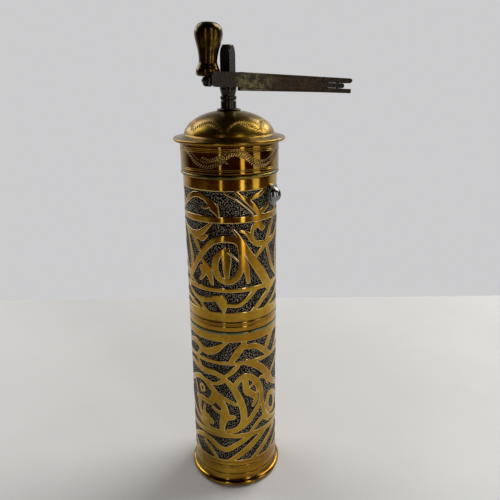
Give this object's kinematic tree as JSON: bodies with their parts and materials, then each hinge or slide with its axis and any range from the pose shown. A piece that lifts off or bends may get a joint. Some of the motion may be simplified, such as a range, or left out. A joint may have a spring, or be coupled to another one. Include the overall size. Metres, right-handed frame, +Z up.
{
  "type": "pepper mill",
  "caption": "Tall brass hand pepper mill: chased cup and grinding body, domed cap, square-tanged shaft, folding crank with turned knob.",
  "frame": {"origin": "centre of the foot's underside, where the mill stands on the table", "axes": "+Z up along the shaft; the folded arm points 17 degrees from +X towards +Y"},
  "size_m": [0.0862, 0.0536, 0.237],
  "materials": {
    "brass_chased": "polished, darkened in the chased ground",
    "brass_aged": "aged",
    "steel_dark": "darkened, mottled",
    "iron_dark": "as cast",
    "steel_bright": "bright"
  },
  "bodies": {
    "receiving_cup": {"cup_tube": "brass_chased", "cup_floor": "brass_aged", "base_ring": "brass_chased"},
    "grinding_body": {"upper_tube": "brass_chased", "spigot_ring": "brass_aged", "neck_ring": "brass_aged", "upper_bridge": "iron_dark", "side_screws": "steel_bright", "side_washers": "steel_bright", "burr_ring": "iron_dark", "lower_bridge": "iron_dark", "bridge_screws": "steel_bright"},
    "adjuster": {"adjusting_screw": "brass_aged"},
    "shaft": {"drive_shaft": "steel_dark", "burr_cone": "iron_dark", "burr_pin": "steel_dark", "thrust_washer": "steel_dark"},
    "cap": {"cap_skirt": "brass_chased", "cap_dome": "brass_chased", "cap_ferrule": "brass_aged"},
    "crank": {"crank_arm": "steel_dark", "fold_pin": "steel_dark"},
    "handle": {"handle_bar": "steel_dark", "knob_spindle": "steel_dark"},
    "turning_knob": {"knob": "brass_aged"}
  },
  "joints": [
    {"name": "body_lift", "type": "slide", "parent": "receiving_cup", "child": "grinding_body", "axis": [0, 0, 1], "range_m": [0, 0.03]},
    {"name": "adjuster_turn", "type": "hinge", "parent": "grinding_body", "child": "adjuster", "pos_m": [0, 0, 0.08], "axis": [0, 0, 1], "continuous": true},
    {"name": "shaft_spin", "type": "hinge", "parent": "grinding_body", "child": "shaft", "pos_m": [0, 0, 0.155], "axis": [0, 0, 1], "continuous": true},
    {"name": "cap_lift", "type": "slide", "parent": "grinding_body", "child": "cap", "axis": [0, 0, 1], "range_m": [0, 0.032]},
    {"name": "crank_lift", "type": "slide", "parent": "shaft", "child": "crank", "axis": [0, 0, 1], "range_m": [0, 0.032]},
    {"name": "handle_fold", "type": "hinge", "parent": "crank", "child": "handle", "pos_m": [0.05222, 0.00786, 0.20935], "axis": [0.0484, 0.0148, 0.9987], "range_deg": [0, 180]},
    {"name": "knob_spin", "type": "hinge", "parent": "handle", "child": "turning_knob", "pos_m": [-0.00864, -0.00348, 0.22248], "axis": [0.0484, 0.0148, 0.9987], "continuous": true}
  ],
  "couplings": [
    {"joint": "crank_lift", "follows": "cap_lift", "ratio": 1}
  ]
}
